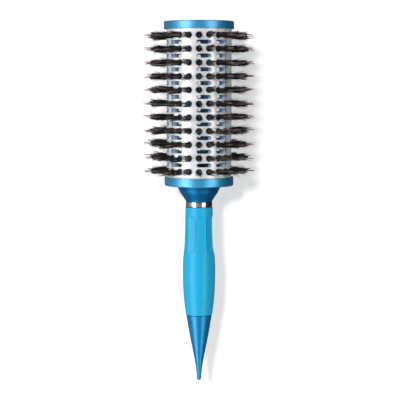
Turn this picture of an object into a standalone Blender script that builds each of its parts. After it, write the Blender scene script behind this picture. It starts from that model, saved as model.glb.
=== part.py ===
"""A round barrel brush for blow-drying, built as its separate pieces.

A vented aluminium sleeve covers a slotted plastic core, rows of bristle tufts stand out through
the sleeve, a collar closes each end of the barrel, and a turned neck, a ferrule, a soft grip on a
stem and a pointed sectioning tail follow one another behind it.

Every piece is modelled about one axis, with distances counted down the brush from the flat face
of the barrel's end. The axis lies along Y with the barrel's end at +Y, and the brush lies on its
bristles.
"""

import math

import bmesh
import bpy
from mathutils import Matrix, Vector

MM = 0.001

# Clearance between neighbours that seat on each other or slide into each other
FIT_GAP = 0.3 * MM

# Lengths along the brush, from the barrel's end to the tail's tip
END_COLLAR_LENGTH = 5.5 * MM
BARREL_SHOWING = 104.1 * MM
BASE_COLLAR_LENGTH = 6.2 * MM
NECK_LENGTH = 11.1 * MM
FERRULE_LENGTH = 4.0 * MM
GRIP_LENGTH = 77.5 * MM
TAIL_LENGTH = 48.2 * MM

# Barrel: the perforated sleeve, the slotted core under it and the thin band that carries a row
BARREL_RADIUS = 23.0 * MM
SLEEVE_WALL = 0.7 * MM
CORE_WALL = 4.1 * MM
ROOT_BAND_THICKNESS = 0.4 * MM
ROOT_BAND_WIDTH = 4.0 * MM

# Tufts: columns stand around the barrel and rows follow one another along it
COLUMNS = 20
ROWS = 11
FIRST_ROW_MARGIN = 4.6 * MM
LAST_ROW_MARGIN = 4.6 * MM
TUFT_HOLE = 4.0 * MM
TUFT_BASE = 2.9 * MM
TUFT_SPREAD = 4.3 * MM
BOAR_REACH = 12.6 * MM
NYLON_REACH = 16.7 * MM

# Vent slots: each spans two columns, and every fifth column stands alone between slots
SLOT_HEIGHT = 2.8 * MM
SLOT_ANGLE = math.radians(27)
COLUMNS_PER_PATTERN = 5
SLOT_STARTS = (0, 2)

# Collars and the plug and hub that close the barrel's ends
END_COLLAR_PROUD = 1.7 * MM
BASE_COLLAR_PROUD = 1.4 * MM
COLLAR_EDGE = 0.6 * MM
COLLAR_LIP = 1.0 * MM
BASE_COLLAR_SKIRT = 3.2 * MM
BASE_COLLAR_ROUND = 1.0 * MM
PLUG_SEAT = 2.5 * MM
PLUG_DEPTH = 8.0 * MM
PLUG_WALL = 2.0 * MM
HUB_FLANGE = 2.0 * MM
HUB_DEPTH = 8.0 * MM
HUB_WALL = 2.0 * MM

# Neck and ferrule
NECK_SPIGOT_RADIUS = 12.0 * MM
NECK_RIM_RADIUS = 15.1 * MM
NECK_RIM_LENGTH = 1.9 * MM
NECK_CONE_RADIUS = 14.2 * MM
NECK_FILLET = 0.8 * MM
NECK_END_RADIUS = 9.1 * MM
NECK_WEB = 5.4 * MM
FERRULE_RADIUS = 9.4 * MM
FERRULE_EDGE = 0.4 * MM

# Handle: a stem through the ferrule and the grip, and the tail pressed into its end
STEM_RADIUS = 5.5 * MM
GRIP_TOP_RADIUS = 9.75 * MM
GRIP_WAIST_RADIUS = 9.65 * MM
GRIP_WAIST_FROM_TOP = 7.0 * MM
GRIP_BELLY_RADIUS = 11.55 * MM
GRIP_BELLY_FROM_TOP = 44.8 * MM
GRIP_END_RADIUS = 9.3 * MM
GRIP_RISE_DELAY = 1.3
GRIP_TAPER_POWER = 2.3
GRIP_STATIONS = 10
TAIL_TOP_RADIUS = 8.95 * MM
TAIL_NECK_RADIUS = 1.7 * MM
TAIL_NECK_LENGTH = 7.4 * MM
TAIL_TIP_RADIUS = 1.3 * MM
TAIL_SPIGOT_RADIUS = 3.0 * MM
TAIL_SPIGOT_LENGTH = 10.0 * MM

# The screw that draws hub, neck and stem together
SCREW_RADIUS = 2.0 * MM
SCREW_LENGTH = 19.0 * MM
SCREW_HEAD_RADIUS = 3.8 * MM
SCREW_HEAD_HEIGHT = 2.6 * MM
SCREW_HEAD_FLAT_RADIUS = 3.0 * MM
SCREW_HEAD_ROUND = 1.0 * MM
SCREW_SOCKET_RADIUS = 1.7 * MM
SCREW_SOCKET_DEPTH = 1.5 * MM
WASHER_RADIUS = 5.0 * MM
WASHER_THICKNESS = 1.0 * MM

HANDLE_SIDES = 20
SMALL_SIDES = 16
MERGE_DISTANCE = 0.00001

# Distances down the brush at which one piece gives way to the next
BARREL_TOP = END_COLLAR_LENGTH
BASE_COLLAR_TOP = BARREL_TOP + BARREL_SHOWING
BASE_COLLAR_END = BASE_COLLAR_TOP + BASE_COLLAR_LENGTH
NECK_END = BASE_COLLAR_END + NECK_LENGTH
FERRULE_END = NECK_END + FERRULE_LENGTH
GRIP_END = FERRULE_END + GRIP_LENGTH
BRUSH_LENGTH = GRIP_END + TAIL_LENGTH

# Where the barrel's pieces begin and end inside the two collars
SLEEVE_TOP = COLLAR_LIP + FIT_GAP
SLEEVE_END = BASE_COLLAR_TOP + BASE_COLLAR_SKIRT - FIT_GAP
HUB_FLANGE_TOP = SLEEVE_END - HUB_FLANGE
CORE_END = HUB_FLANGE_TOP - FIT_GAP
SHOULDER_TOP = BASE_COLLAR_TOP + BASE_COLLAR_SKIRT

# Radii that follow from the barrel's, from the outside in
SLEEVE_BORE = BARREL_RADIUS - SLEEVE_WALL
BAND_RADIUS = SLEEVE_BORE - FIT_GAP
CORE_RADIUS = BAND_RADIUS - ROOT_BAND_THICKNESS - FIT_GAP
CORE_BORE = CORE_RADIUS - CORE_WALL
INSERT_RADIUS = CORE_BORE - FIT_GAP
NYLON_TIP_RADIUS = BARREL_RADIUS + NYLON_REACH
BOAR_TIP_RADIUS = BARREL_RADIUS + BOAR_REACH

HALF_FACET = math.pi / COLUMNS
ROW_PITCH = (BARREL_SHOWING - FIRST_ROW_MARGIN - LAST_ROW_MARGIN) / (ROWS - 1)
ROW_DISTANCES = [BARREL_TOP + FIRST_ROW_MARGIN + row * ROW_PITCH for row in range(ROWS)]

for leftover in list(bpy.data.objects):
    bpy.data.objects.remove(leftover, do_unlink=True)

brush = bpy.data.collections.new("round_barrel_brush")
cutters = bpy.data.collections.new("cutters")
for collection in (brush, cutters):
    bpy.context.scene.collection.children.link(collection)

# Pieces stand on this empty with their axis along its Z, which points out of the barrel's end.
axis = bpy.data.objects.new("brush_axis", None)
axis.location = (0, BRUSH_LENGTH / 2, NYLON_TIP_RADIUS)
axis.rotation_euler = (-math.pi / 2, 0, 0)
brush.objects.link(axis)


# ---------------------------------------------------------------- finishes


def finish(name, colour, roughness, metallic=0.0):
    """A Principled material of one colour, which is given in linear light."""
    material = bpy.data.materials.new(name)
    material.use_nodes = True
    shader = material.node_tree.nodes["Principled BSDF"]
    shader.inputs["Base Color"].default_value = (*colour, 1)
    shader.inputs["Roughness"].default_value = roughness
    shader.inputs["Metallic"].default_value = metallic
    return material


def anodised_blue(name):
    return finish(name, (0.01, 0.27, 0.45), 0.28, 1.0)


def pearl_aluminium(name):
    return finish(name, (0.72, 0.74, 0.77), 0.38, 0.8)


def core_plastic(name):
    return finish(name, (0.22, 0.42, 0.60), 0.5)


def bristle(name):
    return finish(name, (0.018, 0.014, 0.014), 0.6)


def soft_grip(name):
    return finish(name, (0.04, 0.42, 0.67), 0.55)


def lacquered_blue(name):
    return finish(name, (0.01, 0.20, 0.38), 0.25, 0.4)


def chrome(name):
    return finish(name, (0.80, 0.80, 0.83), 0.08, 1.0)


def zinc_steel(name):
    return finish(name, (0.55, 0.55, 0.56), 0.35, 1.0)


def dark_plastic(name):
    return finish(name, (0.03, 0.05, 0.07), 0.5)


# ---------------------------------------------------------------- shared modelling steps


def add_piece(name, mesh, material_of):
    """Puts a mesh on the brush's axis as a named piece with a material of its own."""
    piece = bpy.data.objects.new(name, mesh)
    mesh.materials.append(material_of(name))
    piece.parent = axis
    brush.objects.link(piece)
    return piece


def add_cutter(name, bm):
    """A tool that a Boolean subtracts, drawn as wire and left out of the brush."""
    bmesh.ops.recalc_face_normals(bm, faces=bm.faces[:])
    mesh = bpy.data.meshes.new(name)
    bm.to_mesh(mesh)
    bm.free()
    cutter = bpy.data.objects.new(name, mesh)
    cutter.parent = axis
    cutter.hide_render = True
    cutter.display_type = "WIRE"
    cutters.objects.link(cutter)
    return cutter


def turned(name, outline, sides, material_of):
    """A piece turned on the axis from an outline of (radius, distance) that runs down its outside.

    An outline that starts and ends on the axis is left open there, and any other is closed.
    """
    bm = bmesh.new()
    points = [bm.verts.new((radius, 0, -distance)) for radius, distance in outline]
    for start, end in zip(points, points[1:]):
        bm.edges.new((start, end))
    if outline[0][0] > 0:
        bm.edges.new((points[-1], points[0]))
    mesh = bpy.data.meshes.new(name)
    bm.to_mesh(mesh)
    bm.free()
    piece = add_piece(name, mesh, material_of)
    turn = piece.modifiers.new("turn", "SCREW")
    turn.axis = "Z"
    turn.steps = turn.render_steps = sides
    turn.use_merge_vertices = True
    turn.merge_threshold = MERGE_DISTANCE
    turn.use_smooth_shade = True
    return piece


def cut(piece, cutter):
    boolean = piece.modifiers.new(f"cut_{cutter.name}", "BOOLEAN")
    boolean.operation = "DIFFERENCE"
    boolean.solver = "EXACT"
    boolean.object = cutter


def bore_for(radius, sides):
    """The corner radius of a bore with flat sides that clears a round of this radius."""
    return (radius + FIT_GAP) / math.cos(math.pi / sides)


def column_angle(column):
    """The turn about the axis that brings +X to a column; column 0 is on top of the brush."""
    return column * 2 * math.pi / COLUMNS - math.pi / 2


def radial_block(bm, turn, inner, outer, height, distance, half_width_at):
    """A block across the barrel's wall, from one radius to another, facing out at an angle."""
    cube = bmesh.ops.create_cube(bm, size=1)
    for vert in cube["verts"]:
        radius = inner if vert.co.x < 0 else outer
        across = math.copysign(half_width_at(radius), vert.co.y)
        vert.co = (radius, across, vert.co.z * height - distance)
    bmesh.ops.rotate(bm, verts=cube["verts"], matrix=Matrix.Rotation(turn, 3, "Z"))


# ---------------------------------------------------------------- barrel


def make_tuft_hole_cutter():
    """One square hole through the sleeve for each tuft."""
    bm = bmesh.new()
    for distance in ROW_DISTANCES:
        for column in range(COLUMNS):
            radial_block(
                bm, column_angle(column), CORE_RADIUS, NYLON_TIP_RADIUS,
                TUFT_HOLE, distance, lambda radius: TUFT_HOLE / 2,
            )
    return add_cutter("tuft_holes", bm)


def make_slot_cutter():
    """The vent slots, midway between the rows, cut on radii through the sleeve and the core."""
    bm = bmesh.new()
    for distance in ROW_DISTANCES[:-1]:
        for column in range(COLUMNS):
            if column % COLUMNS_PER_PATTERN not in SLOT_STARTS:
                continue
            radial_block(
                bm, column_angle(column) + HALF_FACET, CORE_BORE / 2, NYLON_TIP_RADIUS,
                SLOT_HEIGHT, distance + ROW_PITCH / 2,
                lambda radius: radius * math.tan(SLOT_ANGLE / 2),
            )
    return add_cutter("vent_slots", bm)


def make_sleeve(tuft_holes, vent_slots):
    """The perforated aluminium tube, one flat for each column of tufts."""
    outline = [
        (BARREL_RADIUS, SLEEVE_TOP),
        (BARREL_RADIUS, SLEEVE_END),
        (SLEEVE_BORE, SLEEVE_END),
        (SLEEVE_BORE, SLEEVE_TOP),
    ]
    sleeve = turned("barrel_sleeve", outline, COLUMNS, pearl_aluminium)
    sleeve.rotation_euler.z = HALF_FACET
    cut(sleeve, tuft_holes)
    cut(sleeve, vent_slots)


def make_core(vent_slots):
    """The thick plastic tube that holds the tufts, slotted in line with the sleeve."""
    outline = [
        (CORE_RADIUS, SLEEVE_TOP),
        (CORE_RADIUS, CORE_END),
        (CORE_BORE, CORE_END),
        (CORE_BORE, SLEEVE_TOP),
    ]
    core = turned("bristle_core", outline, COLUMNS, core_plastic)
    core.rotation_euler.z = HALF_FACET
    cut(core, vent_slots)


def set_square(face, facing, radius, side):
    """Makes a face a square of this side, square to its direction at this radius."""
    outward = Vector((math.cos(facing), math.sin(facing), 0))
    across = Vector((-math.sin(facing), math.cos(facing), 0))
    for vert in face.verts:
        left = math.copysign(side / 2, vert.co.dot(across))
        up = math.copysign(side / 2, vert.co.z)
        vert.co = outward * radius + across * left + Vector((0, 0, up))


def make_row_mesh():
    """A thin band round the core with one tuft on each of its flats.

    A tuft widens from its root to the ends of its boar hair and closes to the nylon's tip.
    """
    bm = bmesh.new()
    bmesh.ops.create_cone(
        bm, cap_ends=False, segments=COLUMNS, radius1=BAND_RADIUS, radius2=BAND_RADIUS,
        depth=ROOT_BAND_WIDTH, matrix=Matrix.Rotation(HALF_FACET, 4, "Z"),
    )
    flats = bm.faces[:]
    bore = bmesh.ops.extrude_face_region(bm, geom=flats, use_keep_orig=True)
    shrink = 1 - ROOT_BAND_THICKNESS / BAND_RADIUS
    bore_verts = [item for item in bore["geom"] if isinstance(item, bmesh.types.BMVert)]
    bmesh.ops.scale(bm, verts=bore_verts, vec=(shrink, shrink, 1))
    flat_radius = BAND_RADIUS * math.cos(HALF_FACET)
    for flat in flats:
        centre = flat.calc_center_median()
        facing = math.atan2(centre.y, centre.x)
        bmesh.ops.inset_individual(bm, faces=[flat], thickness=TUFT_BASE / 10)
        set_square(flat, facing, flat_radius, TUFT_BASE)
        spread = bmesh.ops.extrude_discrete_faces(bm, faces=[flat])["faces"][0]
        set_square(spread, facing, BOAR_TIP_RADIUS, TUFT_SPREAD)
        tip = bmesh.ops.poke(bm, faces=[spread])["verts"][0]
        tip.co = Vector((math.cos(facing), math.sin(facing), 0)) * NYLON_TIP_RADIUS
    bmesh.ops.recalc_face_normals(bm, faces=bm.faces[:])
    mesh = bpy.data.meshes.new("tuft_row")
    bm.to_mesh(mesh)
    bm.free()
    return mesh


def make_rows():
    row_mesh = make_row_mesh()
    for number, distance in enumerate(ROW_DISTANCES, start=1):
        row = add_piece(f"tuft_row_{number:02d}", row_mesh.copy(), bristle)
        row.location.z = -distance


# ---------------------------------------------------------------- the barrel's ends


def make_end_collar():
    """The ring at the barrel's end, whose lip keeps sleeve and core in."""
    outside = BARREL_RADIUS + END_COLLAR_PROUD
    lip_bore = INSERT_RADIUS + PLUG_SEAT + FIT_GAP
    skirt_bore = bore_for(BARREL_RADIUS, COLUMNS)
    outline = [
        (lip_bore, 0),
        (outside - COLLAR_EDGE, 0),
        (outside, COLLAR_EDGE),
        (outside, END_COLLAR_LENGTH),
        (skirt_bore, END_COLLAR_LENGTH),
        (skirt_bore, COLLAR_LIP),
        (lip_bore, COLLAR_LIP),
    ]
    collar = turned("end_collar", outline, COLUMNS, anodised_blue)
    collar.rotation_euler.z = HALF_FACET


def make_end_plug():
    """The cap pressed into the core's end, with a flange in the collar's lip."""
    flange = INSERT_RADIUS + PLUG_SEAT
    outline = [
        (0, 0),
        (flange, 0),
        (flange, COLLAR_LIP),
        (INSERT_RADIUS, COLLAR_LIP),
        (INSERT_RADIUS, PLUG_DEPTH),
        (INSERT_RADIUS - PLUG_WALL, PLUG_DEPTH),
        (INSERT_RADIUS - PLUG_WALL, PLUG_WALL),
        (0, PLUG_WALL),
    ]
    plug = turned("end_plug", outline, COLUMNS, dark_plastic)
    plug.rotation_euler.z = HALF_FACET


def make_base_collar():
    """The cup at the barrel's base: a skirt over the sleeve and a shoulder round the neck."""
    outside = BARREL_RADIUS + BASE_COLLAR_PROUD
    skirt_bore = bore_for(BARREL_RADIUS, COLUMNS)
    neck_bore = bore_for(NECK_SPIGOT_RADIUS, COLUMNS)
    outline = [
        (outside, BASE_COLLAR_TOP),
        (outside, BASE_COLLAR_END - BASE_COLLAR_ROUND),
        (outside - BASE_COLLAR_ROUND, BASE_COLLAR_END),
        (neck_bore, BASE_COLLAR_END),
        (neck_bore, SHOULDER_TOP),
        (skirt_bore, SHOULDER_TOP),
        (skirt_bore, BASE_COLLAR_TOP),
    ]
    collar = turned("base_collar", outline, COLUMNS, anodised_blue)
    collar.rotation_euler.z = HALF_FACET


def make_hub():
    """The insert that closes the core's lower end and takes the screw."""
    screw_bore = bore_for(SCREW_RADIUS, COLUMNS)
    outline = [
        (INSERT_RADIUS, HUB_FLANGE_TOP - HUB_DEPTH),
        (INSERT_RADIUS, HUB_FLANGE_TOP),
        (BAND_RADIUS, HUB_FLANGE_TOP),
        (BAND_RADIUS, SLEEVE_END),
        (screw_bore, SLEEVE_END),
        (screw_bore, HUB_FLANGE_TOP),
        (INSERT_RADIUS - HUB_WALL, HUB_FLANGE_TOP),
        (INSERT_RADIUS - HUB_WALL, HUB_FLANGE_TOP - HUB_DEPTH),
    ]
    hub = turned("barrel_hub", outline, COLUMNS, dark_plastic)
    hub.rotation_euler.z = HALF_FACET


# ---------------------------------------------------------------- neck, ferrule and handle


def make_neck():
    """The turned cone from the barrel to the handle, with a spigot up into the base collar."""
    screw_bore = bore_for(SCREW_RADIUS, HANDLE_SIDES)
    stem_bore = bore_for(STEM_RADIUS, HANDLE_SIDES)
    rim = BASE_COLLAR_END + FIT_GAP
    outline = [
        (NECK_SPIGOT_RADIUS, SHOULDER_TOP),
        (NECK_SPIGOT_RADIUS, rim),
        (NECK_RIM_RADIUS, rim),
        (NECK_RIM_RADIUS, rim + NECK_RIM_LENGTH),
        (NECK_CONE_RADIUS, rim + NECK_RIM_LENGTH + NECK_FILLET),
        (NECK_END_RADIUS, NECK_END),
        (stem_bore, NECK_END),
        (stem_bore, SHOULDER_TOP + NECK_WEB),
        (screw_bore, SHOULDER_TOP + NECK_WEB),
        (screw_bore, SHOULDER_TOP),
    ]
    turned("neck", outline, HANDLE_SIDES, anodised_blue)


def make_ferrule():
    """The bright band between neck and grip."""
    top = NECK_END + FIT_GAP
    stem_bore = bore_for(STEM_RADIUS, HANDLE_SIDES)
    outline = [
        (FERRULE_RADIUS - FERRULE_EDGE, top),
        (FERRULE_RADIUS, top + FERRULE_EDGE),
        (FERRULE_RADIUS, FERRULE_END - FERRULE_EDGE),
        (FERRULE_RADIUS - FERRULE_EDGE, FERRULE_END),
        (stem_bore, FERRULE_END),
        (stem_bore, top),
    ]
    turned("ferrule", outline, HANDLE_SIDES, chrome)


def make_stem():
    """The rigid rod inside the handle, drilled at the top for the screw and below for the tail."""
    top = SHOULDER_TOP + NECK_WEB + FIT_GAP
    screw_bore = bore_for(SCREW_RADIUS, SMALL_SIDES)
    screw_bottom = HUB_FLANGE_TOP - WASHER_THICKNESS + SCREW_LENGTH
    tail_bore = bore_for(TAIL_SPIGOT_RADIUS, SMALL_SIDES)
    outline = [
        (0, screw_bottom + FIT_GAP),
        (screw_bore, screw_bottom + FIT_GAP),
        (screw_bore, top),
        (STEM_RADIUS, top),
        (STEM_RADIUS, GRIP_END),
        (tail_bore, GRIP_END),
        (tail_bore, GRIP_END - TAIL_SPIGOT_LENGTH - FIT_GAP),
        (0, GRIP_END - TAIL_SPIGOT_LENGTH - FIT_GAP),
    ]
    turned("handle_stem", outline, SMALL_SIDES, dark_plastic)


def grip_radius(distance):
    """The grip's outer radius, this far down from its top: a waist, a belly and a taper."""
    if distance < GRIP_WAIST_FROM_TOP:
        share = distance / GRIP_WAIST_FROM_TOP
        return GRIP_TOP_RADIUS + (GRIP_WAIST_RADIUS - GRIP_TOP_RADIUS) * share
    if distance < GRIP_BELLY_FROM_TOP:
        share = (distance - GRIP_WAIST_FROM_TOP) / (GRIP_BELLY_FROM_TOP - GRIP_WAIST_FROM_TOP)
        late = share**GRIP_RISE_DELAY
        rise = late**2 * (3 - 2 * late)
        return GRIP_WAIST_RADIUS + (GRIP_BELLY_RADIUS - GRIP_WAIST_RADIUS) * rise
    share = (distance - GRIP_BELLY_FROM_TOP) / (GRIP_LENGTH - GRIP_BELLY_FROM_TOP)
    return GRIP_BELLY_RADIUS - (GRIP_BELLY_RADIUS - GRIP_END_RADIUS) * share**GRIP_TAPER_POWER


def make_grip():
    """The soft sleeve over the stem."""
    top = FERRULE_END + FIT_GAP
    stem_bore = bore_for(STEM_RADIUS, HANDLE_SIDES)
    outline = []
    for station in range(GRIP_STATIONS + 1):
        distance = top + (GRIP_END - top) * station / GRIP_STATIONS
        outline.append((grip_radius(distance - FERRULE_END), distance))
    outline += [(stem_bore, GRIP_END), (stem_bore, top)]
    turned("grip", outline, HANDLE_SIDES, soft_grip)


def make_tail():
    """The pointed sectioning tail, whose spigot fills the bore in the stem's end."""
    top = GRIP_END + FIT_GAP
    outline = [
        (0, GRIP_END - TAIL_SPIGOT_LENGTH),
        (TAIL_SPIGOT_RADIUS, GRIP_END - TAIL_SPIGOT_LENGTH),
        (TAIL_SPIGOT_RADIUS, top),
        (TAIL_TOP_RADIUS, top),
        (TAIL_NECK_RADIUS, BRUSH_LENGTH - TAIL_NECK_LENGTH),
        (TAIL_TIP_RADIUS, BRUSH_LENGTH - TAIL_TIP_RADIUS),
        (TAIL_TIP_RADIUS * math.sqrt(0.5), BRUSH_LENGTH - TAIL_TIP_RADIUS * (1 - math.sqrt(0.5))),
        (0, BRUSH_LENGTH),
    ]
    turned("tail", outline, HANDLE_SIDES, lacquered_blue)


# ---------------------------------------------------------------- fastening


def make_screw_and_washer():
    """A pan-headed screw from inside the barrel, and the washer under its head."""
    washer_end = HUB_FLANGE_TOP - FIT_GAP
    washer_top = washer_end - WASHER_THICKNESS
    bore = bore_for(SCREW_RADIUS, SMALL_SIDES)
    washer = [
        (WASHER_RADIUS, washer_top),
        (WASHER_RADIUS, washer_end),
        (bore, washer_end),
        (bore, washer_top),
    ]
    turned("hub_washer", washer, SMALL_SIDES, zinc_steel)

    head_end = washer_top - FIT_GAP
    head_top = head_end - SCREW_HEAD_HEIGHT
    screw = [
        (0, head_top),
        (SCREW_HEAD_FLAT_RADIUS, head_top),
        (SCREW_HEAD_RADIUS, head_top + SCREW_HEAD_ROUND),
        (SCREW_HEAD_RADIUS, head_end),
        (SCREW_RADIUS, head_end),
        (SCREW_RADIUS, head_end + SCREW_LENGTH),
        (0, head_end + SCREW_LENGTH),
    ]
    made = turned("hub_screw", screw, SMALL_SIDES, zinc_steel)
    bm = bmesh.new()
    bmesh.ops.create_cone(
        bm, cap_ends=True, segments=6, radius1=SCREW_SOCKET_RADIUS, radius2=SCREW_SOCKET_RADIUS,
        depth=2 * SCREW_SOCKET_DEPTH, matrix=Matrix.Translation((0, 0, -head_top)),
    )
    cut(made, add_cutter("driver_socket", bm))


def build():
    tuft_holes = make_tuft_hole_cutter()
    vent_slots = make_slot_cutter()
    make_end_collar()
    make_end_plug()
    make_sleeve(tuft_holes, vent_slots)
    make_core(vent_slots)
    make_rows()
    make_base_collar()
    make_hub()
    make_neck()
    make_ferrule()
    make_stem()
    make_grip()
    make_tail()
    make_screw_and_washer()


build()
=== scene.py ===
# %% [markdown]
# # A round barrel brush for blow-drying
#
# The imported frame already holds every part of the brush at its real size. Here each visible part
# gets its fine shape and its finish: a vented pearly sleeve over a blue core, tufts of separate
# hairs, anodised collars and neck, a chrome ferrule, a soft fluted grip and a lacquered tail.
#
# The brush lies on its bristles with its axis along Y. The barrel's closed end points to +Y and the
# tail to -Y, and one column of tufts stands straight up.

import math
import random

import bmesh
import bpy
from mathutils import Matrix, Vector


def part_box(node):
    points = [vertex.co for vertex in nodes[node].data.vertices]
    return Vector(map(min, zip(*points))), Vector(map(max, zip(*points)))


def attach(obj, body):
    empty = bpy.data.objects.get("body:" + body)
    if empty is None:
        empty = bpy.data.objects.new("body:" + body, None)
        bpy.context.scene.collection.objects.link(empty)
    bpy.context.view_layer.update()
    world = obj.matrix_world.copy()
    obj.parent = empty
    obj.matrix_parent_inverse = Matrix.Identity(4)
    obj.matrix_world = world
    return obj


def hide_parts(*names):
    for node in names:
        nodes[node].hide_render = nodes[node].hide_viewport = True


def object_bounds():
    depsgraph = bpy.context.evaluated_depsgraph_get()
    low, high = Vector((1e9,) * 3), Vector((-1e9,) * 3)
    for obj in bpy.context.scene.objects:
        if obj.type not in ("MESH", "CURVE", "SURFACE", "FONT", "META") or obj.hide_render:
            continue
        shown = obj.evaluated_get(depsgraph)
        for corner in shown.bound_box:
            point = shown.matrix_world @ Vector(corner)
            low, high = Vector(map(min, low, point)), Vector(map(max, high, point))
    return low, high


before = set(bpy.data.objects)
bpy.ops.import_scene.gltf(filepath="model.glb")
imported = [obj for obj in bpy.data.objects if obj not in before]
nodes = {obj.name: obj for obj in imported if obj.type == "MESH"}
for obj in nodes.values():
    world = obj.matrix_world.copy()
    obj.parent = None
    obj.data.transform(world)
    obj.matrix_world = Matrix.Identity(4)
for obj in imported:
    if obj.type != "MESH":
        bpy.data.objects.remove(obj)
cad_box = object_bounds()
MM = 0.001
MERGE_DISTANCE = 0.01
FIT_GAP = 0.3
ON_AXIS = 0.02
print("CAD box", cad_box)

# %% [markdown]
# Nearly every piece is round about one axis, so the useful measures are radii from that axis and
# distances along it from the barrel's closed end. They are read from the frame's own corners, so a
# piece made here sits exactly where its part does. Lengths are in millimetres until a mesh is made.
#
# `FIT_GAP` is the clearance between two parts that touch on the real brush. An outline that closes
# on the axis stops `ON_AXIS` short of it, so that the spun faces keep four corners there.

# %% Measure the frame
AXIS_Z = (cad_box[0][2] + cad_box[1][2]) / 2
END_Y = cad_box[1][1]
COLUMNS = 20


def radii(node):
    """The smallest and the largest distance of a part's corners from the axis, in mm."""
    corners = nodes[node].data.vertices
    distances = [math.hypot(c.co.x, c.co.z - AXIS_Z) / MM for c in corners]
    return min(distances), max(distances)


def span(node):
    """How far from the barrel's end a part starts and stops, in mm."""
    low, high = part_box(node)
    return (END_Y - high.y) / MM, (END_Y - low.y) / MM


ROW_NODES = sorted(name for name in nodes if name.startswith("tuft_row_"))
ROW_PLACES = [sum(span(row)) / 2 for row in ROW_NODES]
ROW_PITCH = (ROW_PLACES[-1] - ROW_PLACES[0]) / (len(ROW_PLACES) - 1)
BARREL_RADIUS = radii("barrel_sleeve")[1]
TIP_RADIUS = radii(ROW_NODES[0])[1]
COLUMN_WIDTH = 2 * math.pi * BARREL_RADIUS / COLUMNS
print(f"barrel radius {BARREL_RADIUS:.2f}, tips at {TIP_RADIUS:.2f}, row pitch {ROW_PITCH:.2f} mm")
print(f"{len(ROW_NODES)} rows, the first at {ROW_PLACES[0]:.1f} mm")
print(f"{COLUMNS} columns, {COLUMN_WIDTH:.2f} mm apart")

# %% [markdown]
# ## Camera
#
# The camera looks almost straight down from a metre away with a long lens, so the brush keeps its
# true proportions and only the surfaces nearest to it look a little larger. A 36 mm sensor and a
# 122 mm lens take in 285 mm at the height of the axis.

# %% Place the camera
VIEW_CENTRE = Vector((0.0007, END_Y - 0.1263, AXIS_Z))
CAMERA_PLACE = Vector((0.0007, END_Y - 0.0409, AXIS_Z + 0.96))
LENS = 121.8

camera_data = bpy.data.cameras.new("studio_camera")
camera = bpy.data.objects.new("studio_camera", camera_data)
bpy.context.scene.collection.objects.link(camera)
camera.location = CAMERA_PLACE
gaze = VIEW_CENTRE - CAMERA_PLACE
camera.rotation_euler = (math.atan2(gaze.y, -gaze.z), 0, 0)
camera_data.lens = LENS
bpy.context.scene.camera = camera
bpy.context.scene.view_settings.view_transform = "Standard"
print("camera at", [round(c, 3) for c in camera.location])

# %% [markdown]
# ## Light
#
# Polished metal shows its surroundings, so the lights decide how the collars and the ferrule look.
# Two long soft boxes, one on each side, lay a bright band along each side of every cylinder, and
# the dim surroundings between them leave a darker band in the middle. A small sun high on the upper
# left throws the soft shadow down to the right.

# %% Hang the lamps
SOFTBOX_DISTANCE = 0.9
SUN_PLACE = Vector((-0.21, 0.26, 1.0))


def add_lamp(name, kind, energy, place, rotation):
    """A lamp that the camera can't see. Without rotation it shines straight down."""
    data = bpy.data.lights.new(name, kind)
    data.energy = energy
    lamp = bpy.data.objects.new(name, data)
    lamp.location = place
    lamp.rotation_euler = rotation
    lamp.visible_camera = False
    bpy.context.scene.collection.objects.link(lamp)
    return lamp


def add_softbox(name, degrees, width, length, middle, brightness):
    """A long soft box beside the brush, so many degrees to the right of overhead.

    Its middle is a place along Y. Its brightness is what a mirror would show of it, whatever its
    size.
    """
    angle = math.radians(degrees)
    right, up = SOFTBOX_DISTANCE * math.sin(angle), SOFTBOX_DISTANCE * math.cos(angle)
    energy = brightness * math.pi * width * length
    softbox = add_lamp(name, "AREA", energy, (right, middle, AXIS_Z + up), (0, angle, 0))
    softbox.data.shape = "RECTANGLE"
    softbox.data.size = width
    softbox.data.size_y = length
    return softbox


softboxes = [
    add_softbox("left_softbox", degrees=-46, width=0.60, length=2.6, middle=-0.35, brightness=3.0),
    add_softbox("right_softbox", degrees=42, width=0.52, length=1.9, middle=0.0, brightness=2.2),
]
sun_rotation = (-SUN_PLACE).to_track_quat("-Z", "Y").to_euler()
sun = add_lamp("window_sun", "SUN", energy=1.45, place=SUN_PLACE, rotation=sun_rotation)
sun.data.angle = math.radians(6)
sun.visible_glossy = False

# %% [markdown]
# ## A socket that does sums
#
# A pattern is easier to read as an expression than as boxes and wires. `Signal` wraps one socket,
# so that `1 - mask * 0.3` adds the Math nodes, and its method `node` adds any other kind of node.

# %% Wrap a socket
class Signal:
    """One socket of a node tree, for use in expressions. Without a socket it only adds nodes."""

    def __init__(self, tree, socket=None):
        self.tree = tree
        self.socket = socket

    def node(self, kind, settings=(), inputs=(), output=0):
        """Adds a node: its settings first, then a value or a signal for each input."""
        made = self.tree.nodes.new(kind)
        for name, value in dict(settings).items():
            if name == "stops":
                while len(made.color_ramp.elements) < len(value):
                    made.color_ramp.elements.new(0.5)
                for element, (position, colour) in zip(made.color_ramp.elements, value):
                    element.position = position
                    element.color = (*colour, 1)
            else:
                setattr(made, name, value)
        for name, value in dict(inputs).items():
            if isinstance(value, Signal):
                self.tree.links.new(value.socket, made.inputs[name])
            else:
                made.inputs[name].default_value = value
        return Signal(self.tree, made.outputs[output])

    def maths(self, operation, first, second):
        return self.node("ShaderNodeMath", {"operation": operation}, {0: first, 1: second})

    def __add__(self, other):
        return self.maths("ADD", self, other)

    def __radd__(self, other):
        return self.maths("ADD", other, self)

    def __sub__(self, other):
        return self.maths("SUBTRACT", self, other)

    def __rsub__(self, other):
        return self.maths("SUBTRACT", other, self)

    def __mul__(self, other):
        return self.maths("MULTIPLY", self, other)

    def __rmul__(self, other):
        return self.maths("MULTIPLY", other, self)


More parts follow.
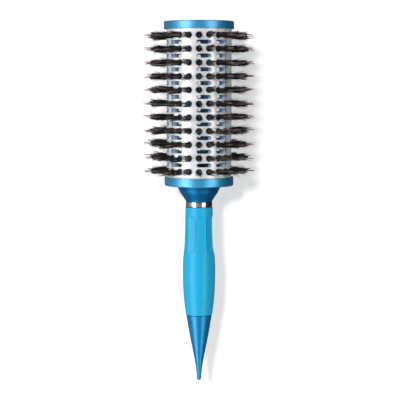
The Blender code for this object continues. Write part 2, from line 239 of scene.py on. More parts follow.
print("a Signal can be added, subtracted and multiplied")

# %% [markdown]
# Each finish is a Principled shader. What is the same all over goes straight on its sockets, and
# what varies over the surface comes as a signal. Patterns read Object coordinates, which here are
# the frame's own metres, so a noise scale of 1000 has about one cell in a millimetre. Colours are
# given as they look on a screen, and turned into the linear light that shaders work in.

# %% Helpers for finishes
def paint(red, green, blue):
    """A screen colour, each part 0 to 255, as linear light, by the sRGB curve."""
    return tuple(
        ((part / 255 + 0.055) / 1.055) ** 2.4 if part > 10 else part / 3295
        for part in (red, green, blue)
    )


class Finish:
    """A material with one Principled shader. Keywords are its constants, with _ for a space."""

    def __init__(self, name, **constants):
        self.material = bpy.data.materials.new(name)
        self.material.use_nodes = True
        tree = self.material.node_tree
        self.shader = tree.nodes["Principled BSDF"]
        self.start = Signal(tree)
        self.place = self.start.node("ShaderNodeTexCoord", output="Object")
        for key, value in constants.items():
            self.shader.inputs[key.replace("_", " ")].default_value = value

    def noise(self, cells_per_mm, detail=2.0, stretch=(1, 1, 1)):
        """Cloudy noise from 0 to 1. A small number in stretch draws it out in that direction."""
        stretched = {"Vector": self.place, "Scale": stretch}
        scaled = self.start.node("ShaderNodeMapping", inputs=stretched)
        settings = {"Vector": scaled, "Scale": cells_per_mm / MM, "Detail": detail}
        return self.start.node("ShaderNodeTexNoise", inputs=settings)

    def mix(self, share, first, second):
        """A colour between two others, which are signals or linear colours."""
        colours = [c if isinstance(c, Signal) else (*c, 1) for c in (first, second)]
        inputs = {0: share, 6: colours[0], 7: colours[1]}
        return self.start.node("ShaderNodeMix", {"data_type": "RGBA"}, inputs, output=2)

    def ramp(self, signal, *stops):
        """A colour for each value of a signal, through stops of (value, colour)."""
        return self.start.node("ShaderNodeValToRGB", {"stops": stops}, {0: signal})

    def bump(self, height, depth):
        """A normal for a surface that a signal raises by up to this depth, in mm."""
        return self.start.node("ShaderNodeBump", inputs={"Height": height, "Distance": depth * MM})

    def feed(self, **signals):
        """Links each signal to the shader's socket of that name, and gives the material."""
        for key, signal in signals.items():
            self.start.tree.links.new(signal.socket, self.shader.inputs[key.replace("_", " ")])
        return self.material


print("paint(255, 255, 255) is", paint(255, 255, 255))

# %% [markdown]
# ## Surroundings
#
# The surroundings are what the chrome and the anodised metal mirror where no soft box stands: dark
# below, a dim grey from the horizon up, and brighter to the left and towards the tail. The floor is
# pale, and glows a little by itself, so that a shadow on it stays light. The soft boxes leave it
# out, or they would wash the sun's shadow away, and metal doesn't mirror it, because its glow would
# put bright edges along every cylinder.

# %% Make the surroundings
SKY_GREYS = ((0.0, 0.10), (0.44, 0.12), (0.52, 0.24), (0.75, 0.28))
DIMMEST_SIDE = 0.2

world = bpy.data.worlds.new("studio")
world.use_nodes = True
bpy.context.scene.world = world
start = Signal(world.node_tree)
direction = start.node("ShaderNodeTexCoord")
sideways, along, height = (
    start.node("ShaderNodeSeparateXYZ", inputs={0: direction}, output=part) for part in range(3)
)
sky_stops = [(position, (grey,) * 3) for position, grey in SKY_GREYS]
glow = start.node("ShaderNodeValToRGB", {"stops": sky_stops}, {0: height * 0.5 + 0.5})
lean = start.maths("MAXIMUM", 1 - sideways - along * 0.4, DIMMEST_SIDE)
backdrop = world.node_tree.nodes["Background"].inputs
backdrop["Color"].default_value = (1, 1, 1, 1)
world.node_tree.links.new((glow * lean).socket, backdrop["Strength"])
print("surroundings set")

# %% Lay the floor
FLOOR_REACH = 3.0
FLOOR_GLOW = 0.55

bm = bmesh.new()
bmesh.ops.create_grid(bm, x_segments=1, y_segments=1, size=FLOOR_REACH)
floor_mesh = bpy.data.meshes.new("floor")
bm.to_mesh(floor_mesh)
bm.free()
floor = bpy.data.objects.new("floor", floor_mesh)
bpy.context.scene.collection.objects.link(floor)
floor.visible_glossy = False

paper = Finish("pale_paper", Roughness=0.9, Emission_Strength=FLOOR_GLOW)
fibres = paper.noise(0.5)
pale_paper = paper.feed(
    Base_Color=paper.mix(fibres, (0.78,) * 3, (0.82,) * 3),
    Emission_Color=paper.mix(fibres, (0.98,) * 3, (1.0,) * 3),
)
floor.data.materials.append(pale_paper)

unlit = bpy.data.collections.new("left_out_by_softboxes")
unlit.objects.link(floor)
unlit.collection_objects[0].light_linking.link_state = "EXCLUDE"
for softbox in softboxes:
    softbox.light_linking.receiver_collection = unlit
print("floor laid")

# %% [markdown]
# ## Making pieces
#
# A finished bmesh becomes an object with smooth faces and sharp edges where two faces meet at more
# than 35 degrees. It rides on the brush's only body and stands for its CAD nodes.

# %% Helpers for pieces
SHARP_ANGLE = math.radians(35)
ARC_SEGMENTS = 4


def make_piece(name, bm, material, slot, *stands_for):
    """A piece of the brush from a bmesh, in place of these CAD nodes."""
    mesh = bpy.data.meshes.new(name)
    bm.to_mesh(mesh)
    bm.free()
    mesh.shade_smooth()
    mesh.set_sharp_from_angle(angle=SHARP_ANGLE)
    mesh.materials.append(material)
    piece = bpy.data.objects.new(name, mesh)
    bpy.context.scene.collection.objects.link(piece)
    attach(piece, "root")
    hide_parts(*stands_for)
    print(f"{name}: {len(mesh.polygons)} faces")
    return piece


def turn(outline, sides=128):
    """Turns an outline about the axis, as a lathe does.

    The outline is a closed chain of corners (distance, radius, rounding) in mm. A rounded corner
    becomes an arc of four segments before the outline is spun.
    """
    bm = bmesh.new()
    corners = [bm.verts.new((0, END_Y - d * MM, AXIS_Z + r * MM)) for d, r, _ in outline]
    for first, second in zip(corners, corners[1:] + corners[:1]):
        bm.edges.new((first, second))
    for rounding in sorted({corner[2] for corner in outline} - {0}):
        chosen = [v for v, corner in zip(corners, outline) if corner[2] == rounding]
        bmesh.ops.bevel(
            bm, geom=chosen, offset=rounding * MM, offset_type="OFFSET", affect="VERTICES",
            segments=ARC_SEGMENTS, profile=0.5, material=-1,
        )
    bmesh.ops.spin(
        bm, geom=bm.verts[:] + bm.edges[:], cent=(0, 0, AXIS_Z), axis=(0, 1, 0),
        angle=math.tau, steps=sides, use_merge=True,
    )
    bmesh.ops.remove_doubles(bm, verts=bm.verts[:], dist=MERGE_DISTANCE * MM)
    bmesh.ops.recalc_face_normals(bm, faces=bm.faces[:])
    return bm


def smooth_outline(points, steps):
    """Corners on a Catmull-Rom curve through (distance, radius) points, so many for each."""
    ends = [points[0]] + list(points) + [points[-1]]
    outline = []
    for before, first, second, after in zip(ends, ends[1:], ends[2:], ends[3:]):
        for step in range(steps):
            share = step / steps
            outline.append(tuple(
                0.5 * (2 * b + (c - a) * share + (2 * a - 5 * b + 4 * c - d) * share**2
                       + (3 * b - a - 3 * c + d) * share**3)
                for a, b, c, d in zip(before, first, second, after)
            ))
    return outline + [tuple(points[-1])]


print("a lathe and a curve")

# %% [markdown]
# ## The pearly sleeve
#
# The barrel's skin is a thin aluminium tube. It was punched flat with round tuft holes and
# round-ended vent slots, and then rolled. Making it the same way keeps every hole clean: one
# patch of five columns by one row is built flat out of cells, repeated, and rolled up. Cutting the
# holes with booleans would leave long thin faces that spoil the shine.
#
# A cell is a hole's rim, extruded outwards and stretched to the cell's rectangle. Neighbouring
# cells join because their sides are cut alike: six edges for each column's width, and four for the
# height of a cell.

# %% Cells of a flat sheet
ACROSS = 6
UP = 4
QUARTER = 4


def rim_point(step, width, height, across, up):
    """A point on a rectangle's rim, stepping anticlockwise from the middle of its right side."""
    step = (step + up / 2) % (2 * (across + up))
    if step < up:
        return width / 2, height * (step / up - 0.5)
    step -= up
    if step < across:
        return width * (0.5 - step / across), height / 2
    step -= across
    if step < up:
        return -width / 2, height * (0.5 - step / up)
    return width * ((step - up) / across - 0.5), -height / 2


def slot_point(step, radius, half_straight):
    """A point on a round-ended slot's rim, stepping as rim_point does.

    Each quarter of a round end has QUARTER edges, and each straight side has twice as many.
    """
    turned = min(step, 8 * QUARTER - step)
    side = 1 if step <= 4 * QUARTER else -1
    if turned <= QUARTER:
        angle = turned * math.pi / (2 * QUARTER)
        return half_straight + radius * math.cos(angle), side * radius * math.sin(angle)
    if turned < 3 * QUARTER:
        return half_straight * (2 * QUARTER - turned) / QUARTER, side * radius
    angle = math.pi - (4 * QUARTER - turned) * math.pi / (2 * QUARTER)
    return -half_straight + radius * math.cos(angle), side * radius * math.sin(angle)


def add_holed_cell(bm, centre, width, height, across, up, radius, half_straight=0.0):
    """A rectangular cell with a round hole, or with a slot if half_straight isn't zero."""
    count = 2 * (across + up)
    rim = bmesh.ops.create_circle(bm, segments=count, radius=radius)["verts"]
    edges = {edge for corner in rim for edge in corner.link_edges}
    grown = bmesh.ops.extrude_edge_only(bm, edges=list(edges))["geom"]
    outer = [v for v in grown if isinstance(v, bmesh.types.BMVert)]
    for corner in rim + outer:
        step = round(math.atan2(corner.co.y, corner.co.x) / math.tau * count) % count
        if corner in outer:
            place = rim_point(step, width, height, across, up)
        elif half_straight:
            place = slot_point(step, radius, half_straight)
        else:
            place = corner.co.x, corner.co.y
        corner.co = (centre[0] + place[0], centre[1] + place[1], 0)


def add_plain_cell(bm, centre, width, height, across, up):
    """A rectangular cell without a hole."""
    cell = bmesh.ops.create_grid(bm, x_segments=across, y_segments=up, size=0.5)["verts"]
    bmesh.ops.scale(bm, vec=(width, height, 1), verts=cell)
    bmesh.ops.translate(bm, vec=(*centre, 0), verts=cell)


PATCH_COLUMNS = 5
PATCH_WIDTH = PATCH_COLUMNS * COLUMN_WIDTH
HOLE_BAND = 5.6
HOLE_RADIUS = 2.27
SLOT_BAND = ROW_PITCH - HOLE_BAND
SLOT_RADIUS = 1.4
SLOT_STRAIGHT = 4.02
SLOT_LENGTH = 2 * (SLOT_STRAIGHT + SLOT_RADIUS)
print(f"a patch is {PATCH_WIDTH:.1f} mm wide; its slots are {SLOT_LENGTH:.1f} mm long")

# %% Build, repeat and roll a punched sheet
def add_tuft_band(bm, hole_radius):
    """One patch of the band that holds a row of tufts, with holes or without."""
    for column in range(PATCH_COLUMNS):
        centre = (column * COLUMN_WIDTH, 0)
        if hole_radius:
            add_holed_cell(bm, centre, COLUMN_WIDTH, HOLE_BAND, ACROSS, UP, hole_radius)
        else:
            add_plain_cell(bm, centre, COLUMN_WIDTH, HOLE_BAND, ACROSS, 1)


def add_slot_band(bm):
    """One patch of the band of vents: two slots, each two columns wide, and one plain cell."""
    middle = -(HOLE_BAND + SLOT_BAND) / 2
    for column in (0.5, 2.5):
        add_holed_cell(
            bm, (column * COLUMN_WIDTH, middle), 2 * COLUMN_WIDTH, SLOT_BAND, 2 * ACROSS, UP,
            SLOT_RADIUS, SLOT_STRAIGHT,
        )
    add_plain_cell(bm, (4 * COLUMN_WIDTH, middle), COLUMN_WIDTH, SLOT_BAND, ACROSS, UP)


def repeat(bm, offset, times):
    """Copies all of a bmesh so many more times, each one offset further."""
    pattern = bm.verts[:] + bm.edges[:] + bm.faces[:]
    for copy in range(1, times + 1):
        made = bmesh.ops.duplicate(bm, geom=pattern)["geom"]
        corners = [v for v in made if isinstance(v, bmesh.types.BMVert)]
        bmesh.ops.translate(bm, vec=Vector(offset) * copy, verts=corners)


def punched_tube(hole_radius, radius, top, foot):
    """A rolled tube without thickness, punched with the barrel's pattern.

    It reaches from top to foot, distances from the barrel's end. With a hole_radius of 0 it has no
    tuft holes.
    """
    bm = bmesh.new()
    add_tuft_band(bm, hole_radius)
    add_slot_band(bm)
    repeat(bm, (0, -ROW_PITCH, 0), len(ROW_NODES) - 2)
    last = bmesh.new()
    last_place = -ROW_PITCH * (len(ROW_NODES) - 1)
    add_tuft_band(last, hole_radius)
    bmesh.ops.translate(last, vec=(0, last_place, 0), verts=last.verts[:])
    strip = bpy.data.meshes.new("last_row")
    last.to_mesh(strip)
    last.free()
    bm.from_mesh(strip)
    bpy.data.meshes.remove(strip)
    repeat(bm, (PATCH_WIDTH, 0, 0), COLUMNS // PATCH_COLUMNS - 1)
    bmesh.ops.remove_doubles(bm, verts=bm.verts[:], dist=MERGE_DISTANCE)
    for rim_place, end in ((HOLE_BAND / 2, top), (last_place - HOLE_BAND / 2, foot)):
        rim = [
            e for e in bm.edges if all(abs(v.co.y - rim_place) < MERGE_DISTANCE for v in e.verts)
        ]
        grown = bmesh.ops.extrude_edge_only(bm, edges=rim)["geom"]
        for corner in (v for v in grown if isinstance(v, bmesh.types.BMVert)):
            corner.co.y = ROW_PLACES[0] - end
    for corner in bm.verts:
        angle = corner.co.x / BARREL_RADIUS
        distance = ROW_PLACES[0] - corner.co.y
        right, up = radius * MM * math.sin(angle), radius * MM * math.cos(angle)
        corner.co = (right, END_Y - distance * MM, AXIS_Z + up)
    bmesh.ops.remove_doubles(bm, verts=bm.verts[:], dist=MERGE_DISTANCE * MM)
    bmesh.ops.recalc_face_normals(bm, faces=bm.faces[:])
    bm.faces.ensure_lookup_table()
    outward = bm.faces[0].calc_center_median() - Vector((0, 0, AXIS_Z))
    outward.y = 0
    if bm.faces[0].normal.dot(outward) < 0:
        bmesh.ops.reverse_faces(bm, faces=bm.faces[:])
    return bm


def thicken(piece, wall, edge):
    """Gives a tube its wall, inwards, and rounds its edges."""
    shell = piece.modifiers.new("wall", "SOLIDIFY")
    shell.thickness = wall * MM
    shell.offset = -1
    rounding = piece.modifiers.new("edges", "BEVEL")
    rounding.width = edge * MM
    rounding.segments = 2
    rounding.limit_method = "ANGLE"
    rounding.angle_limit = math.radians(50)


print("ready to punch and roll")

# %% Pearly aluminium
pearl = Finish("pearl_aluminium", Metallic=0.6, Coat_Weight=0.1, Coat_Roughness=0.3)
clouds = pearl.noise(0.12, detail=3)
lustre = pearl.mix(clouds, (0.87, 0.85, 0.84), (0.80, 0.84, 0.89))
grain = pearl.noise(3, detail=4, stretch=(1, 0.08, 1))
pearl_aluminium = pearl.feed(
    Base_Color=pearl.mix(grain * 0.12, lustre, (0.62, 0.64, 0.68)),
    Roughness=grain * 0.10 + 0.48,
    Normal=pearl.bump(grain, 0.004),
)
print("pearl aluminium mixed")

# %% Roll the sleeve
SLEEVE_WALL = 0.7

sleeve_top, sleeve_foot = span("barrel_sleeve")
bm = punched_tube(HOLE_RADIUS, BARREL_RADIUS, sleeve_top, sleeve_foot)
sleeve = make_piece("vented_sleeve", bm, pearl_aluminium, "pearl_aluminium", "barrel_sleeve")
thicken(sleeve, wall=SLEEVE_WALL, edge=0.13)

# %% [markdown]
# ## The core
#
# Inside the sleeve a moulded core holds the tufts. Its light blue plastic shows in the walls of the
# vents. It is the same rolled sheet without the tuft holes, thick enough to reach the core's bore.
# Its outside, which peeps out round each tuft, and its bore are a deeper blue of painted shade, for
# the shade inside the barrel and at the bottom of each tuft hole, so the colour is a ramp over the
# distance from the axis: a Mapping node flattens the position onto the end of the brush, and the
# length of what is left is that distance.

# %% Core plastic
CORE_RADIUS = BARREL_RADIUS - SLEEVE_WALL - FIT_GAP
CORE_BORE = radii("bristle_core")[0]
# The bore and skin blues are painted shade: the barrel's inside and the tuft holes' bottoms lie in
# shade.
SHADED_BORE_BLUE = paint(104, 168, 200)
PALE_BLUE = paint(184, 210, 232)
SHADED_SKIN_BLUE = paint(48, 104, 140)
CLOUD_BLUE = paint(120, 160, 200)

core_finish = Finish("core_plastic", Coat_Weight=0.15)
core_clouds = core_finish.noise(0.4, detail=3)
flat_place = core_finish.start.node(
    "ShaderNodeMapping",
    inputs={"Vector": core_finish.place, "Location": (0, 0, -AXIS_Z), "Scale": (1, 0, 1)},
)
core_depth = core_finish.start.node(
    "ShaderNodeVectorMath", {"operation": "LENGTH"}, {0: flat_place}, output=1
)
# Painted shade on the bore and the outside; the walls between keep the plastic's own pale blue.
core_colours_and_shade = core_finish.ramp(
    (core_depth * (1 / MM) - CORE_BORE) * (1 / (CORE_RADIUS - CORE_BORE)),
    (0.02, SHADED_BORE_BLUE), (0.20, PALE_BLUE), (0.90, PALE_BLUE), (0.97, SHADED_SKIN_BLUE),
)
core_plastic = core_finish.feed(
    Base_Color=core_finish.mix(core_clouds * 0.2, core_colours_and_shade, CLOUD_BLUE),
    Roughness=core_clouds * 0.1 + 0.38,
    Normal=core_finish.bump(core_finish.noise(6), 0.006),
)
print(f"core plastic mixed, for {CORE_BORE:.1f} to {CORE_RADIUS:.1f} mm from the axis")

# %% Roll the core
core_top, core_foot = span("bristle_core")
bm = punched_tube(0, CORE_RADIUS, core_top, core_foot)
core = make_piece("bristle_core_tube", bm, core_plastic, "core_plastic", "bristle_core")
thicken(core, wall=CORE_RADIUS - CORE_BORE, edge=0.15)

# %% [markdown]
# ## The tufts
#
# Each hole holds a bundle of dark boar hairs with a few longer nylon strands. Real hairs are cheap
# here if each has only a few faces: a thin three-sided cone, cut twice along its length so that it
# can bend. A dozen different tufts are made once, and each row picks and turns twenty of them.
# Every hair carries a shade of its own in an attribute, which the finish reads: most boar hairs are
# nearly black, one in twenty is pale, and the nylon lies between. The pale hairs are partly paler
# hair and partly a painted highlight, standing in for the glints of light along the tufts.

# %% Bristle
bristle_finish = Finish("bristle", Specular_IOR_Level=0.24)
shade = bristle_finish.start.node("ShaderNodeAttribute", {"attribute_name": "shade"}, output="Fac")
bristle_grain = bristle_finish.noise(2, detail=2)
bristle = bristle_finish.feed(
    Base_Color=bristle_finish.ramp(
        shade + bristle_grain * 0.2,
        (0.1, paint(15, 14, 15)), (0.5, paint(29, 26, 27)),
        # The last stop colours the pale hairs, which are also a painted highlight for the tufts'
        # glints.
        (0.75, paint(104, 90, 88)), (1.0, paint(168, 152, 148)),
    ),
    Roughness=bristle_grain * 0.15 + 0.26,
)
print("bristle mixed")

# %% Make a dozen tufts
TUFTS = 12
ROOT_RADIUS = 21.6
BOAR_RADIUS = 36.0
BUNDLE_RADIUS = 1.9
FOOT_RADIUS = 2.15

HAIRS = 84
HAIR_THICKNESS = (0.2, 0.3)
HAIR_LEAN = 0.17
HAIR_BEND = 0.2
WILD_SHARE = 0.16
WILDNESS = 6
UNEVENNESS = 2.2
DOMING = 0.5
DARK_SHADES = 0.45
# The pale hairs are partly paler hair and partly a painted highlight for the tufts' glints.
PALE_GLINT_SHADE = 0.95
PALE_GLINT_SHARE = 0.05

LOCKS = 7
LOCK_SPREAD = 0.3

STRANDS = 4
STRAND_THICKNESS = 0.42


def add_hair(bm, rng, shade_layer, length, thickness, root, lean, bend, shade):
    """One hair along +Z: its root, how far its tip leans, how much it bends, all in mm."""
    made = len(bm.verts)
    hair = bmesh.ops.create_cone(
        bm, segments=3, radius1=thickness / 2, radius2=thickness * 0.3, depth=length,
        cap_ends=True,
    )["verts"]
    sides = {
        e for v in hair for e in v.link_edges
        if abs(e.verts[0].co.z - e.verts[1].co.z) > length / 2
    }
    bmesh.ops.subdivide_edges(bm, edges=list(sides), cuts=2)
    bm.verts.ensure_lookup_table()
    turn_angle = rng.uniform(0, math.tau)
    for corner in bm.verts[made:]:
        share = corner.co.z / length + 0.5
        along = Vector((corner.co.x, corner.co.y, 0))
        along.rotate(Matrix.Rotation(turn_angle, 3, "Z"))
        corner.co = Vector((*root, share * length)) + along
        corner.co.x += lean[0] * share + bend[0] * share**2
        corner.co.y += lean[1] * share + bend[1] * share**2
        corner[shade_layer] = shade


def in_disc(rng, radius):
    """A random point in a disc, as likely in one part of it as in another."""
    angle = rng.uniform(0, math.tau)
    out = radius * math.sqrt(rng.random())
    return out * math.cos(angle), out * math.sin(angle)


def make_tuft(seed):
    """A mesh of one tuft, standing on the axis, with the tips of its nylon at the barrel's reach.

    Boar hair sticks together in locks, so the hairs of a lock lean and bend together. The hairs at
    the rim are shorter, so the bundle's end is a little domed. A dark cone stands for the packed
    foot of the bundle, which fills its hole.
    """
    rng = random.Random(seed)
    bm = bmesh.new()
    shade_layer = bm.verts.layers.float.new("shade")
    locks = [[rng.gauss(0, LOCK_SPREAD) for _ in range(4)] for _ in range(LOCKS)]
    for _ in range(HAIRS):
        root = in_disc(rng, BUNDLE_RADIUS)
        lock = locks[int(LOCKS * (math.atan2(root[1], root[0]) / math.tau % 1))]
        wild = WILDNESS if rng.random() < WILD_SHARE else 1
        lean = [part + rng.gauss(0, HAIR_LEAN * wild) for part in lock[:2]]
        bend = [part + rng.gauss(0, HAIR_BEND * wild) for part in lock[2:]]
        uneven = abs(rng.gauss(0, UNEVENNESS))
        length = BOAR_RADIUS - ROOT_RADIUS - uneven - DOMING * math.hypot(*root)
        # A pale hair is partly paler hair and partly a painted highlight for a glint.
        shade = PALE_GLINT_SHADE if rng.random() < PALE_GLINT_SHARE else rng.random() * DARK_SHADES
        thickness = rng.uniform(*HAIR_THICKNESS)
        add_hair(bm, rng, shade_layer, length, thickness, root, lean, bend, shade)
    for _ in range(STRANDS):
        length = TIP_RADIUS - ROOT_RADIUS - rng.uniform(0.15, 1.2)
        lean, bend, root = (in_disc(rng, radius) for radius in (0.45, 0.6, 0.9))
        shade = rng.uniform(0.5, 0.75)
        add_hair(bm, rng, shade_layer, length, STRAND_THICKNESS, root, lean, bend, shade)
    packed_foot = bmesh.ops.create_cone(
        bm, segments=12, radius1=FOOT_RADIUS, radius2=BUNDLE_RADIUS, depth=3.0, cap_ends=True,
        matrix=Matrix.Translation((0, 0, 0.7)),
    )["verts"]
    for corner in packed_foot:
        corner[shade_layer] = 0.0
    bmesh.ops.translate(bm, vec=(0, 0, ROOT_RADIUS), verts=bm.verts[:])
    bmesh.ops.recalc_face_normals(bm, faces=bm.faces[:])
    mesh = bpy.data.meshes.new(f"tuft_{seed}")
    bm.to_mesh(mesh)
    bm.free()
    return mesh


tufts = [make_tuft(seed) for seed in range(TUFTS)]
print(len(tufts), "tufts of", len(tufts[0].polygons), "faces")

# %% Plant the rows
TUFT_TILT = 0.012

rng = random.Random(20)
for row, (node, distance) in enumerate(zip(ROW_NODES, ROW_PLACES), 1):
    bm = bmesh.new()
    bm.verts.layers.float.new("shade")
    for column in range(COLUMNS):
        planted = len(bm.verts)
        bm.from_mesh(rng.choice(tufts))
        bm.verts.ensure_lookup_table()
        spin = Matrix.Rotation(rng.uniform(0, math.tau), 4, "Z")
        tilt = Matrix.Rotation(rng.gauss(0, TUFT_TILT), 4, "X")
        around = Matrix.Rotation(column * math.tau / COLUMNS, 4, "Y")
        place = Matrix.Translation((0, END_Y - distance * MM, AXIS_Z)) @ Matrix.Scale(MM, 4)
        bmesh.ops.transform(bm, matrix=place @ around @ tilt @ spin, verts=bm.verts[planted:])
    make_piece(f"bristles_{row:02d}", bm, bristle, "bristle", node)
for tuft in tufts:
    bpy.data.meshes.remove(tuft)

# %% [markdown]
# ## Collars and cap
#
# Two anodised collars hold the sleeve. They are turned parts, so each one is an outline spun about
# the axis. Anodising is a clear, dyed skin on aluminium: a coloured metal under a thin satin coat,
# with fine turning marks that run round the part. The cap in the end collar has a sunken middle and
# a groove near its rim; `CAP_FACE` lists their corners as depth, radius and rounding.

# %% Anodised blue
def anodised(name, deep, bright, roughness, coat, metallic):
    """Dyed aluminium with fine turning marks."""
    finish = Finish(name, Metallic=metallic, Coat_Weight=coat, Coat_Roughness=0.32, Coat_IOR=2.0)
    marks = finish.noise(6, detail=3, stretch=(0.04, 1, 0.04))
    tint = finish.noise(0.1)
    return finish.feed(
        Base_Color=finish.mix(tint, deep, bright),
        Roughness=marks * 0.10 + roughness,
        Normal=finish.bump(marks, 0.003),
    )


anodised_blue = anodised(
    "anodised_blue", paint(0, 144, 192), paint(0, 154, 204), roughness=0.37, coat=0.8, metallic=0.75
)
print("anodised blue mixed")

# %% Turn the collars
SKIRT_BORE = BARREL_RADIUS + 0.05
LIP = 1.0

collar_bore, collar_radius = radii("end_collar")
collar_start, collar_end = span("end_collar")
bm = turn([
    (collar_start, collar_bore, 0.15), (collar_start, collar_radius, 0.6),
    (collar_end, collar_radius, 0.25), (collar_end, SKIRT_BORE, 0),
    (collar_start + LIP, SKIRT_BORE, 0), (collar_start + LIP, collar_bore, 0),
])
make_piece("end_collar_ring", bm, anodised_blue, "anodised_blue", "end_collar")

base_bore, base_radius = radii("base_collar")
base_start, base_end = span("base_collar")
base_ledge = sleeve_foot + 0.1
bm = turn([
    (base_start, base_radius, 0.25), (base_end, base_radius, 0.8), (base_end, base_bore, 0.2),
    (base_ledge, base_bore, 0), (base_ledge, SKIRT_BORE, 0), (base_start, SKIRT_BORE, 0),
])
make_piece("base_collar_cup", bm, anodised_blue, "anodised_blue", "base_collar")

# %% Mould the cap
cap_finish = Finish("cap_plastic", Coat_Weight=1.0, Coat_Roughness=0.05)
cap_noise = cap_finish.noise(0.5, detail=3)
cap_plastic = cap_finish.feed(
    Base_Color=cap_finish.mix(cap_noise, paint(8, 78, 122), paint(12, 88, 134)),
    Roughness=cap_noise * 0.1 + 0.25,
    Normal=cap_finish.bump(cap_finish.noise(5), 0.003),
)

CAP_WALL = 2.0
CAP_SEAT = 2.5
CAP_FACE = (
    (0.7, ON_AXIS, 0), (0.7, 5.0, 0.3), (0.15, 6.0, 0.3), (0.15, 13.2, 0.3), (0.6, 13.9, 0.2),
    (0.6, 15.2, 0.2), (0.05, 15.9, 0.3),
)
cap_radius = radii("end_plug")[1]
cap_start, cap_end = span("end_plug")
plug_radius = cap_radius - CAP_SEAT
face = [(cap_start + depth, radius, rounding) for depth, radius, rounding in CAP_FACE]
bm = turn(face + [
    (cap_start + 0.05, cap_radius, 0.3), (cap_start + LIP, cap_radius, 0),
    (cap_start + LIP, plug_radius, 0), (cap_end, plug_radius, 0.2),
    (cap_end, plug_radius - CAP_WALL, 0.2), (cap_start + CAP_WALL, plug_radius - CAP_WALL, 0.2),
    (cap_start + CAP_WALL, ON_AXIS, 0),
], sides=96)
make_piece("closing_cap", bm, cap_plastic, "cap_plastic", "end_plug")

# %% [markdown]
# ## Neck and ferrule
#
# The neck is turned from the same metal, but blasted before it was anodised, so it is satin and
# deeper in colour. A chrome ferrule closes the top of the grip.

# %% Turn the neck
anodised_neck = anodised(
    "anodised_neck", paint(0, 98, 148), paint(0, 108, 158), roughness=0.36, coat=0.0, metallic=0.8
)
SCREW_BORE = 2.4
NECK_SPIGOT = 12.0
NECK_WEB = 5.4
NECK_SHAPE = (
    (0.5, 15.5), (1.0, 15.2), (1.8, 14.7), (2.8, 14.2), (4.3, 13.55), (5.7, 12.75), (7.1, 11.75),
    (8.6, 10.75), (9.8, 9.95), (10.8, 9.45),
)
neck_start, neck_end = span("neck")
rim_start = base_end + FIT_GAP
web_end = neck_start + NECK_WEB
stem_bore = radii("ferrule")[0]
spigot = [
    (neck_start, SCREW_BORE, 0), (neck_start, NECK_SPIGOT, 0.2), (rim_start, NECK_SPIGOT, 0),
    (rim_start, NECK_SHAPE[0][1], 0.2),
]
side = [(rim_start + d, r, 0) for d, r in smooth_outline(NECK_SHAPE, 3)]
bore = [(neck_end, stem_bore, 0), (web_end, stem_bore, 0), (web_end, SCREW_BORE, 0)]
bm = turn(spigot + side + bore)
make_piece("turned_neck", bm, anodised_neck, "anodised_neck", "neck")

# %% Roll the ferrule
chrome_finish = Finish("chrome_band", Metallic=1.0)
chrome_haze = chrome_finish.noise(1.5, detail=3)
chrome_band = chrome_finish.feed(
    Base_Color=chrome_finish.mix(chrome_haze, (0.58, 0.58, 0.60), (0.66, 0.66, 0.68)),
    Roughness=chrome_haze * 0.05 + 0.05,
)
ferrule_radius = radii("ferrule")[1]
ferrule_start, ferrule_end = span("ferrule")
bm = turn([
    (ferrule_start, stem_bore, 0), (ferrule_start, ferrule_radius, 0.4),
    (ferrule_end, ferrule_radius, 0.4), (ferrule_end, stem_bore, 0),
])
make_piece("ferrule_band", bm, chrome_band, "chrome_band", "ferrule")

# %% [markdown]
# ## The grip
#
# The grip is a soft-touch sleeve: a narrow waist for the fingers, a full belly for the palm, and
# nine shallow scallops along the waist that stop the fingers from slipping. It is spun from a
# smooth outline, and then its outside is pressed in along each scallop, which fades out in an arch
# at both ends. The sides are a multiple of nine, so a line of corners lies on every ridge and keeps
# it crisp.

# %% Soft-touch blue
soft_finish = Finish("soft_grip", Specular_IOR_Level=0.15, Coat_Weight=0.5, Coat_Roughness=0.28)
soft_clouds = soft_finish.noise(0.08, detail=3)
soft_grain = soft_finish.noise(5, detail=3)
soft_grip = soft_finish.feed(
    Base_Color=soft_finish.mix(soft_clouds, paint(0, 136, 174), paint(2, 146, 186)),
    Roughness=soft_grain * 0.12 + 0.46,
    Normal=soft_finish.bump(soft_grain, 0.012),
)
print("soft-touch blue mixed")

# %% Spin and press the grip
SCALLOPS = 9
RIDGE_ANGLE = math.radians(-11)
SCALLOP_DEPTH = 1.05
SCALLOP_ARCH = 2.6
SCALLOP_START, START_FADE = 8.4, 2.0
SCALLOP_END, END_FADE = 32.0, 6.0
OUTSIDE_RADIUS = 9.0
GRIP_SHAPE = (
    (0, 9.75), (3, 9.75), (7, 9.82), (15, 9.98), (20, 10.1), (24, 10.28), (28.5, 10.52),
    (34, 11.05), (39, 11.45), (44.8, 11.6), (52, 11.52), (59, 11.28), (66, 10.8), (72, 10.15),
    (77.2, 9.45),
)
grip_start, grip_end = span("grip")
stretch = (grip_end - grip_start) / GRIP_SHAPE[-1][0]
side = [(grip_start + d * stretch, r) for d, r in smooth_outline(GRIP_SHAPE, 6)]
outline = [(d, r, 0) for d, r in side]
outline[0] = (*side[0], 0.3)
outline[-1] = (*side[-1], 0.3)
outline += [(grip_end, stem_bore, 0), (grip_start, stem_bore, 0)]
bm = turn(outline, sides=18 * SCALLOPS)
ridge_turn = Matrix.Rotation(RIDGE_ANGLE, 3, "Y")
bmesh.ops.rotate(bm, cent=(0, 0, AXIS_Z), matrix=ridge_turn, verts=bm.verts[:])


def soft_step(value):
    """0 below 0, 1 above 1, and a smooth rise between them."""
    value = min(max(value, 0), 1)
    return value * value * (3 - 2 * value)


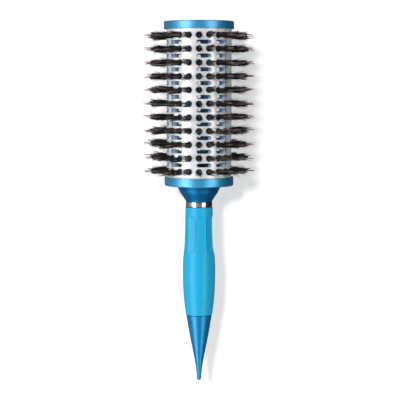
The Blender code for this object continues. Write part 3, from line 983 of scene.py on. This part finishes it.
for corner in bm.verts:
    x, z = corner.co.x, corner.co.z - AXIS_Z
    if math.hypot(x, z) < OUTSIDE_RADIUS * MM:
        continue
    share = ((math.atan2(x, z) - RIDGE_ANGLE) / math.tau * SCALLOPS) % 1
    hollow = 1 - abs(2 * share - 1) ** 3
    distance = (END_Y - corner.co.y) / MM - grip_start
    arch = SCALLOP_ARCH * hollow
    press = soft_step((distance - SCALLOP_START + arch) / START_FADE)
    press *= soft_step((SCALLOP_END + arch - distance) / END_FADE)
    scale = 1 - SCALLOP_DEPTH * hollow * press * MM / math.hypot(x, z)
    corner.co.x, corner.co.z = x * scale, AXIS_Z + z * scale
make_piece("fluted_grip", bm, soft_grip, "soft_grip", "grip")

# %% [markdown]
# ## The tail
#
# Below the grip the handle ends in a long lacquered point for parting hair. Lacquer is a metallic
# colour under a thin gloss coat.

# %% Turn the tail
lacquer = Finish("lacquered_blue", Metallic=0.6, Coat_Weight=0.3, Coat_Roughness=0.1)
flakes = lacquer.noise(8, detail=2)
lacquered_blue = lacquer.feed(
    Base_Color=lacquer.mix(flakes, paint(0, 113, 163), paint(1, 127, 181)),
    Roughness=flakes * 0.12 + 0.31,
)
TAIL_SPIGOT = 3.0
TAIL_SHAPE = (
    (0, 9.05), (2.1, 8.85), (5, 8.35), (8.7, 7.75), (12.3, 7.1), (16, 6.4), (19.6, 5.75),
    (23.3, 5.0), (26.9, 4.3), (30.6, 3.55), (34.2, 2.9), (37.9, 2.3), (41.5, 1.83), (44.5, 1.6),
    (46.2, 1.5), (47.2, 1.15), (47.7, 0.75), (47.9, ON_AXIS),
)
tail_start, tail_end = span("tail")
tail_top = grip_end + FIT_GAP
stretch = (tail_end - tail_top) / TAIL_SHAPE[-1][0]
side = [(tail_top + d * stretch, r, 0) for d, r in smooth_outline(TAIL_SHAPE, 4)]
side[0] = (*side[0][:2], 0.25)
spigot = [(tail_start, ON_AXIS, 0), (tail_start, TAIL_SPIGOT, 0.2), (tail_top, TAIL_SPIGOT, 0)]
bm = turn(side + spigot, sides=96)
make_piece("pointed_tail", bm, lacquered_blue, "lacquered_blue", "tail")

# %% [markdown]
# ## Hidden parts
#
# The hub, the stem, the screw and the washer keep their CAD shapes, which are right as they are.
# They only need the finishes of moulded plastic and of zinc-plated steel.

# %% Finish the hidden parts
dark = Finish("dark_plastic", Coat_Weight=0.1)
dark_noise = dark.noise(1.5, detail=3)
dark_plastic = dark.feed(
    Base_Color=dark.mix(dark_noise, (0.010, 0.013, 0.016), (0.022, 0.026, 0.032)),
    Roughness=dark_noise * 0.15 + 0.42,
    Normal=dark.bump(dark_noise, 0.01),
)
zinc = Finish("zinc_steel", Metallic=1.0)
zinc_noise = zinc.noise(2, detail=4)
zinc_steel = zinc.feed(
    Base_Color=zinc.mix(zinc_noise, (0.52, 0.54, 0.56), (0.66, 0.67, 0.66)),
    Roughness=zinc_noise * 0.2 + 0.25,
)
for name, material in (
    ("barrel_hub", dark_plastic), ("handle_stem", dark_plastic),
    ("hub_screw", zinc_steel), ("hub_washer", zinc_steel),
):
    for material_slot in nodes[name].material_slots:
        material_slot.material = material
print("hidden parts finished")
